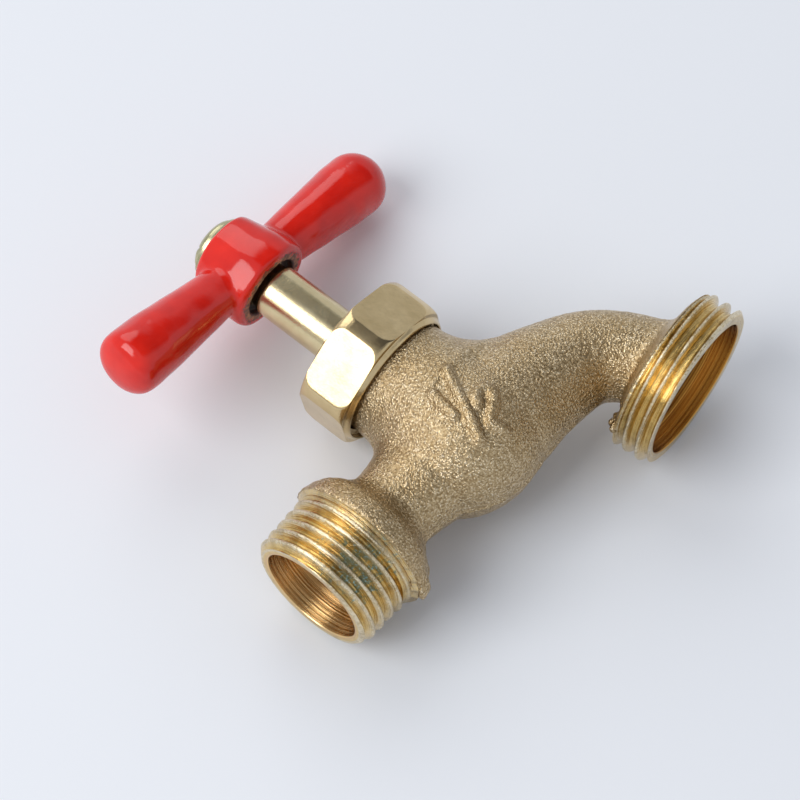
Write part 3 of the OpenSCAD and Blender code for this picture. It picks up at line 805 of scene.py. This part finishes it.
# %% Colours and nodes
def colour(code):
    """sRGB hex to linear: c / 12.92 below 0.04045, else ((c + 0.055) / 1.055) ^ 2.4."""
    c = np.array([int(code[i : i + 2], 16) for i in (1, 3, 5)]) / 255
    return (*np.where(c < 0.04045, c / 12.92, ((c + 0.055) / 1.055) ** 2.4), 1.0)


def add(tree, kind, inputs, out=0, stops=(), **settings):
    """Adds a node and returns one of its outputs. inputs are numbers, colours or another node's
    output to link, by name or number of the socket; stops are (position, hex) pairs of a colour
    ramp."""
    made = tree.nodes.new("ShaderNode" + kind)
    for name, value in settings.items():
        setattr(made, name, value)
    for name, value in inputs.items():
        if isinstance(value, bpy.types.NodeSocket):
            tree.links.new(value, made.inputs[name])
        else:
            made.inputs[name].default_value = value
    for _ in stops[2:]:
        made.color_ramp.elements.new(0.5)
    for k, (where, code) in enumerate(stops):
        made.color_ramp.elements[k].position = where
        made.color_ramp.elements[k].color = colour(code)
    return made.outputs[out] if made.outputs else None


def start(name):
    """A new, empty material with its tree and its object coordinates, in metres."""
    made = bpy.data.materials.new(name)
    made.use_nodes = True
    made.node_tree.nodes.clear()
    return made, made.node_tree, add(made.node_tree, "TexCoord", {}, "Object")


def give(material, pieces, sockets):
    """Closes a material with a principled surface and puts it on its pieces."""
    surface = add(material.node_tree, "BsdfPrincipled", sockets)
    add(material.node_tree, "OutputMaterial", {"Surface": surface})
    for p in pieces:
        p.data.materials.clear()
        p.data.materials.append(material)
    print(material.name, "on", ", ".join(p.name for p in pieces))


print("half-bright grey on a screen is", round(colour("#808080")[0], 3), "in linear light")

# %% [markdown]
# ## Sand-cast brass
# Molten brass takes the print of moulding sand: round grains about a third of a millimetre
# across stand in relief, each with its own small highlight, so the surface glitters where it
# faces the light and is a dull tan elsewhere. The colour is painted darker in the creases between
# grains, as painted shade, and near white on their tops, as painted highlight. Round cells make
# the grains, a noise of the same size breaks their pattern, and lumps of about 6 mm tint it
# broadly.

# %% Sand-cast brass
cast_brass, tree, place = start("sand-cast_brass")
cells = add(tree, "TexVoronoi", {"Vector": place, "Scale": 3000, "Smoothness": 0.2}, "Distance",
            feature="SMOOTH_F1")
grains = add(tree, "MapRange", {0: cells, 1: 0.05, 2: 0.65, 3: 1, 4: 0})
fine = add(tree, "TexNoise", {"Vector": place, "Scale": 2700, "Detail": 4, "Roughness": 0.6})
fine = add(tree, "MapRange", {0: fine, 1: 0.28, 2: 0.72})
sand = add(tree, "Mix", {0: 0.5, 2: grains, 3: fine}, data_type="FLOAT")
# Painted shade and highlight: the colour darkens in the creases between grains and turns near
# white on their tops.
grain_shade_and_highlight = add(tree, "ValToRGB", {0: sand},
           stops=((0.15, "#98815d"), (0.5, "#cdb791"), (0.85, "#fdf1d8")))
broad = add(tree, "TexNoise", {"Vector": place, "Scale": 160, "Detail": 3, "Roughness": 0.6})
cloud = add(tree, "ValToRGB", {0: broad}, stops=((0.3, "#f2e8d6"), (0.7, "#ffffff")))
skin = add(tree, "Mix", {0: 0.6, 6: grain_shade_and_highlight, 7: cloud}, 2, data_type="RGBA", blend_type="MULTIPLY")
give(cast_brass, [casting], {
    "Base Color": skin,
    "Metallic": 1.0,
    "Roughness": add(tree, "MapRange", {0: sand, 1: 0.2, 2: 0.8, 3: 0.34, 4: 0.2}),
    "Normal": add(tree, "Bump", {"Height": sand, "Distance": 0.00017, "Strength": 1.0}),
})

# %% [markdown]
# ## Thread brass
# Fresh cuts are golden in the grooves, where nothing touches them, and paler and scuffed on the
# crests. The bores have the same gold, darker because the light bounces between their walls.
# Rings a quarter of a millimetre wide run round them, the crests are scuffed in spots of half a
# millimetre and dulled in stains of 2 mm, and a little green patina has started in the inlet's
# grooves, in specks of 0.4 mm gathered in blotches of about 1 mm.

# %% Thread brass
def patina(tree, place, at, crest, bore):
    """Green specks within 9 mm of a point, dense near it. They keep to the grooves and out of
    the bore. Returns their mask and their colour."""
    near = add(tree, "VectorMath", {0: place, 1: at}, "Value", operation="DISTANCE")
    share = add(tree, "MapRange", {0: near, 1: 0.001, 2: 0.009, 3: 0.57, 4: 0.32})
    blotch = add(tree, "TexNoise", {"Vector": place, "Scale": 900, "Detail": 5, "Roughness": 0.75})
    over = add(tree, "Math", {0: share, 1: blotch}, operation="SUBTRACT")
    spots = add(tree, "MapRange", {0: over, 1: -0.04, 2: 0.06, 3: 0, 4: 1})
    low = add(tree, "MapRange", {0: crest, 1: 0.5, 2: 0.95, 3: 1, 4: 0})
    mask = add(tree, "Math", {0: spots, 1: low}, operation="MULTIPLY")
    mask = add(tree, "Math", {0: mask, 1: bore}, operation="SUBTRACT", use_clamp=True)
    speck = add(tree, "TexNoise", {"Vector": place, "Scale": 2600, "Detail": 2, "Roughness": 0.5})
    return mask, add(tree, "ValToRGB", {0: speck},
                     stops=((0.4, "#857f5a"), (0.56, "#8b9680"), (0.66, "#9cc6d0")))


def thread_brass(name, made, axis, walls, pale, patina_at=None):
    """Golden grooves and tan crests by the crest attribute, with turning rings along the axis.
    The crests turn pale between the two heights `pale`, and `walls` are the bore's colours."""
    material, tree, place = start(name)
    crest = add(tree, "Attribute", {}, "Fac", attribute_name="crest")
    bore = add(tree, "Attribute", {}, "Fac", attribute_name="bore")
    scuff = add(tree, "TexNoise", {"Vector": place, "Scale": 2200, "Detail": 4, "Roughness": 0.7})
    shift = add(tree, "MapRange", {0: scuff, 1: 0.35, 2: 0.65, 3: -0.25, 4: 0.25})
    worn = add(tree, "Math", {0: crest, 1: shift}, operation="ADD")
    gold = add(tree, "ValToRGB", {0: worn}, stops=(
        (0.05, "#dcbd78"), (pale[0], "#dfc48c"), (pale[1], "#d2c2a0"), (1.0, "#e6d8ba")))
    stain = add(tree, "TexNoise", {"Vector": place, "Scale": 500, "Detail": 4, "Roughness": 0.6})
    dull = add(tree, "ValToRGB", {0: stain}, stops=((0.32, "#a08c64"), (0.55, "#ffffff")))
    gold = add(tree, "Mix", {0: 0.4, 6: gold, 7: dull}, 2, data_type="RGBA", blend_type="MULTIPLY")
    origin, along = tuple(axis.start / 1000), tuple(axis.along)
    centred = add(tree, "VectorMath", {0: place, 1: origin}, operation="SUBTRACT")
    along = add(tree, "VectorMath", {0: centred, 1: along}, "Value", operation="DOT_PRODUCT")
    rings = add(tree, "TexNoise", {"W": along, "Scale": 4200, "Detail": 3, "Roughness": 0.65},
                noise_dimensions="1D")
    wall = add(tree, "ValToRGB", {0: rings}, stops=((0.38, walls[0]), (0.6, walls[1])))
    base = add(tree, "Mix", {0: bore, 6: gold, 7: wall}, 2, data_type="RGBA")
    metal = 1.0
    if patina_at:
        mask, green = patina(tree, place, patina_at, crest, bore)
        base = add(tree, "Mix", {0: mask, 6: base, 7: green}, 2, data_type="RGBA")
        metal = add(tree, "MapRange", {0: mask, 1: 0, 2: 1, 3: 1, 4: 0.55})
    turned = add(tree, "Bump", {"Height": rings, "Distance": 0.00014, "Strength": 1.0})
    give(material, [made], {
        "Base Color": base,
        "Metallic": metal,
        "Roughness": add(tree, "MapRange", {0: worn, 1: 0.3, 2: 1, 3: 0.13, 4: 0.28}),
        "Normal": add(tree, "Bump", {
            "Height": scuff, "Distance": 0.00005, "Strength": 0.7, "Normal": turned}),
    })


thread_brass("die-cut_brass", inlet_thread, inlet, walls=("#b58248", "#ecca90"),
             pale=(0.5, 0.85), patina_at=(0.0052, -0.0090, -0.0050))
thread_brass("lathe-cut_brass", outlet_thread, outlet, walls=("#9c6626", "#d29c4a"),
             pale=(0.6, 0.92))

# %% [markdown]
# ## Polished brass
# The nut and the stem are buffed bar brass, pale and slightly greenish. It mirrors the room, so
# its look is mostly reflection: soft ripples of about 1 mm from buffing, fine scratches a
# quarter of a millimetre wide, and a tint that drifts over 3 mm.

# %% Polished brass
def polished_brass(name, pieces, dark, light, rough, scratch):
    """Pale brass with a buffed ripple and scratches in its normal and dust in its roughness."""
    material, tree, place = start(name)
    tint = add(tree, "TexNoise", {"Vector": place, "Scale": 330, "Detail": 4, "Roughness": 0.65})
    dust = add(tree, "TexNoise", {"Vector": place, "Scale": 4000, "Detail": 4, "Roughness": 0.7})
    ripple = add(tree, "TexNoise", {"Vector": place, "Scale": 900, "Detail": 2, "Roughness": 0.5})
    wave = add(tree, "Bump", {"Height": ripple, "Distance": 0.00002, "Strength": 0.6})
    spread = {0: dust, 1: 0.35, 2: 0.7, 3: rough * 0.8, 4: rough * 1.6}
    give(material, pieces, {
        "Base Color": add(tree, "ValToRGB", {0: tint}, stops=((0.3, dark), (0.7, light))),
        "Metallic": 1.0,
        "Roughness": add(tree, "MapRange", spread),
        "Normal": add(tree, "Bump", {
            "Height": dust, "Distance": scratch, "Strength": 1.0, "Normal": wave}),
    })


inner = [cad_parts[node] for node in ("gland_washer", "seat_screw")]
polished_brass("buffed_bar_brass", [nut] + inner, dark="#c6ae80", light="#d8c194",
               rough=0.14, scratch=0.000015)
polished_brass("polished_stem_brass", [stem], dark="#d3c094", light="#e2d2a8",
               rough=0.11, scratch=0.00002)

# %% [markdown]
# ## Red enamel
# The handle is dipped in thick gloss enamel: a deep red with clear reflections and an orange
# peel of about 2 mm. The recess round the stem was only splashed: the brown of the bare casting
# shows there in a ragged ring, which is a mask of the distance to the stem's axis. Towards the
# axis the brown is darkened to near black, as painted shade in the recess.

# %% Red enamel
enamel, tree, place = start("dipped_gloss_enamel")
pool = add(tree, "TexNoise", {"Vector": place, "Scale": 160, "Detail": 3, "Roughness": 0.6})
red = add(tree, "ValToRGB", {0: pool}, stops=((0.3, "#cc180c"), (0.7, "#e52514")))
hub_middle = (stem_x / 1000, 0, hub_low / 1000)
centred = add(tree, "VectorMath", {0: place, 1: hub_middle}, operation="SUBTRACT")
level = add(tree, "VectorMath", {0: centred, 1: (1, 1, 0)}, operation="MULTIPLY")
away = add(tree, "VectorMath", {0: level}, "Value", operation="LENGTH")
edge = add(tree, "TexNoise", {"Vector": place, "Scale": 1250, "Detail": 4, "Roughness": 0.7})
ragged = add(tree, "MapRange", {0: edge, 1: 0.3, 2: 0.7, 3: -0.0008, 4: 0.0008})
rim = add(tree, "Math", {0: away, 1: ragged}, operation="ADD")
in_ring = add(tree, "MapRange", {0: rim, 1: 0.0061, 2: 0.0063, 3: 1, 4: 0})
up = add(tree, "VectorMath", {0: centred, 1: (0, 0, 1)}, "Value", operation="DOT_PRODUCT")
low = add(tree, "MapRange", {0: up, 1: 0.0013, 2: 0.0015, 3: 1, 4: 0})
bare = add(tree, "Math", {0: in_ring, 1: low}, operation="MULTIPLY")
# Painted shade: the bare ring darkens towards the stem's axis, to near black in the recess.
recess_shade = add(tree, "MapRange", {0: away, 1: 0.0047, 2: 0.0053, 3: 0.4, 4: 1})
worn = add(tree, "Math", {0: edge, 1: recess_shade}, operation="MULTIPLY")
# Rust colours of the bare casting; the darkest stop is the painted shade of the recess.
rust_and_recess_shade = add(tree, "ValToRGB", {0: worn},
           stops=((0.26, "#24100b"), (0.46, "#6b3525"), (0.6, "#c4875c")))
peel = add(tree, "TexNoise", {"Vector": place, "Scale": 450, "Detail": 2, "Roughness": 0.5})
give(enamel, [handle], {
    "Base Color": add(tree, "Mix", {0: bare, 6: red, 7: rust_and_recess_shade}, 2, data_type="RGBA"),
    "Roughness": add(tree, "MapRange", {0: bare, 1: 0, 2: 1, 3: 0.1, 4: 0.45}),
    "IOR": 1.5,
    "Normal": add(tree, "Bump", {"Height": peel, "Distance": 0.00003, "Strength": 0.5}),
})

# %% [markdown]
# ## Plated steel, packing and rubber
# The screw and its washer are steel under a thin yellowish zinc plate, a little cloudy over
# 1.5 mm. The packing is pressed fibre, dull and pale, with flakes of 0.8 mm, and the seat washer
# is black nitrile rubber with a faint bloom.

# %% The remaining finishes
plate, tree, place = start("yellow_zinc-plated_steel")
cloud = add(tree, "TexNoise", {"Vector": place, "Scale": 660, "Detail": 4, "Roughness": 0.65})
give(plate, [washer, screw], {
    "Base Color": add(tree, "ValToRGB", {0: cloud}, stops=((0.3, "#a8a27c"), (0.7, "#cfc9a4"))),
    "Metallic": 1.0,
    "Roughness": add(tree, "MapRange", {0: cloud, 1: 0.3, 2: 0.7, 3: 0.22, 4: 0.34}),
})

fibre, tree, place = start("pressed_fibre_packing")
flakes = add(tree, "TexNoise", {"Vector": place, "Scale": 1250, "Detail": 4, "Roughness": 0.7})
give(fibre, [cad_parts["packing"]], {
    "Base Color": add(tree, "ValToRGB", {0: flakes}, stops=((0.3, "#a89f88"), (0.7, "#d8d2c0"))),
    "Roughness": 0.85,
    "Normal": add(tree, "Bump", {"Height": flakes, "Distance": 0.0001}),
})

rubber, tree, place = start("nitrile_rubber")
bloom = add(tree, "TexNoise", {"Vector": place, "Scale": 830, "Detail": 3, "Roughness": 0.5})
give(rubber, [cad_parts["seat_washer"]], {
    "Base Color": add(tree, "ValToRGB", {0: bloom}, stops=((0.3, "#1c1c1d"), (0.7, "#2b2b2c"))),
    "Roughness": add(tree, "MapRange", {0: bloom, 1: 0.3, 2: 0.7, 3: 0.5, 4: 0.65}),
})

# %% [markdown]
# ## Table, lamps and room
# The valve rests on its side, so the table is a plane beside it in the valve's frame: it touches
# the collar, and runs within half a millimetre of the hose thread and the nut. Its paint shows
# on the face towards the valve only, and from behind it is clear, so that the valve can be
# looked at from every side. One soft lamp at the left makes the white bands in the brass, and a
# larger one above makes the pale bands on the enamel. A dark card, which shows only in
# reflections, hangs beside the lens: polished metal needs something dark to mirror, or it looks
# like plaster. The room itself is one plain pale backdrop.

# %% Table
table_start, table_slope, half = 0.01106, 0.045, 0.6  # metres, metres per metre, metres


def table_y(x):
    """The table's height in Y: it falls away from the camera by 0.045 along X."""
    return table_start + table_slope * x


def flat_piece(name, points, faces):
    """A piece of the stage made of flat faces, from points in metres."""
    made = bpy.data.objects.new(name, bpy.data.meshes.new(name))
    made.data.from_pydata(points, [], faces)
    bpy.context.scene.collection.objects.link(made)
    return made


corners = ((-half, -half), (half, -half), (half, half), (-half, half))
table = flat_piece("table", [(x, table_y(x), z) for x, z in corners], [(0, 1, 2, 3)])
paper, tree, _ = start("matt_white_board")
board = add(tree, "BsdfDiffuse", {"Color": colour("#eaedf2")})
behind = add(tree, "NewGeometry", {}, "Backfacing")
both = add(tree, "MixShader", {0: behind, 1: board, 2: add(tree, "BsdfTransparent", {})})
add(tree, "OutputMaterial", {"Surface": both})
table.data.materials.append(paper)
print("table faces", tuple(round(v, 3) for v in table.data.polygons[0].normal))

# %% Lamps
middle = Vector((0.036, 0.0, 0.012))


def facing(way, distance):
    """Place and turn of a lamp at a distance from the valve's middle. Its Z axis points away
    along `way`, so it shines at the valve."""
    way = Vector(way).normalized()
    turned = way.to_track_quat("Z", "Y").to_matrix().to_4x4()
    return Matrix.Translation(middle + way * distance) @ turned


for name, shape, way, distance, size, energy in (
    ("left_softbox", "SQUARE", (-0.63, -0.71, 0.315), 1.2, 0.8, 8.8),
    ("top_softbox", "DISK", (0.372, -0.644, 0.669), 2.4, 2.3, 19.5),
):
    lamp = bpy.data.objects.new(name, bpy.data.lights.new(name, "AREA"))
    bpy.context.scene.collection.objects.link(lamp)
    lamp.data.shape = shape
    lamp.data.size = size
    lamp.data.energy = energy
    lamp.matrix_world = facing(way, distance)
    lamp.visible_camera = False
    print(name, "at", tuple(round(v, 2) for v in lamp.location))

# %% Dark card
# A bent sheet before the valve, as 4 by 4 points in azimuth and height angle. Its right edge
# leans outwards below. Only the four inner points are solid, so its outer cells fade out.
side, card_far, lean = 4, 1.3, 0.25
turned, raised = np.meshgrid(np.radians([262, 271, 318, 327]), np.radians([-38, -26, 19, 29]))
right_edge = turned > np.radians(300)
turned = turned + np.where(right_edge, lean * (raised.max() - raised), 0)
level = np.cos(raised)
rays = np.stack([level * np.cos(turned), level * np.sin(turned), np.sin(raised)], -1)
spread = np.array(middle) + card_far * rays.reshape(-1, 3)
corners = (0, 1, side + 1, side)
cells = [tuple(side * j + i + k for k in corners) for j in range(3) for i in range(3)]
card = flat_piece("dark_card", spread.tolist(), cells)
inner_points = np.isin(np.arange(side**2), (5, 6, 9, 10)).astype(np.float32)
card.data.attributes.new("solid", "FLOAT", "POINT").data.foreach_set("value", inner_points)
card.visible_camera = False
card.visible_diffuse = False
felt, tree, _ = start("black_felt")
solid = add(tree, "Attribute", {}, "Fac", attribute_name="solid")
black = add(tree, "BsdfDiffuse", {"Color": colour("#727276")})
clear = add(tree, "BsdfTransparent", {})
add(tree, "OutputMaterial", {"Surface": add(tree, "MixShader", {0: solid, 1: clear, 2: black})})
card.data.materials.append(felt)
print("dark card from", spread.min(0).round(2), "to", spread.max(0).round(2))

# %% Room
room = bpy.data.worlds.new("room")
bpy.context.scene.world = room
room.use_nodes = True
tree = room.node_tree
tree.nodes.clear()
fill = add(tree, "Background", {"Color": colour("#eef1f8"), "Strength": 0.5})
backdrop = add(tree, "Background", {"Color": colour("#d3d7de"), "Strength": 1.0})
camera_ray, glossy_ray, clear_ray = (
    add(tree, "LightPath", {}, f"Is {kind} Ray") for kind in ("Camera", "Glossy", "Transmission")
)
seen = add(tree, "Math", {0: camera_ray, 1: glossy_ray}, operation="MAXIMUM")
seen = add(tree, "Math", {0: seen, 1: clear_ray}, operation="MAXIMUM")
add(tree, "OutputWorld", {"Surface": add(tree, "MixShader", {0: seen, 1: fill, 2: backdrop})})
bpy.context.scene.view_settings.view_transform = "Standard"
print("room", room.name, "with", len(tree.nodes), "nodes")
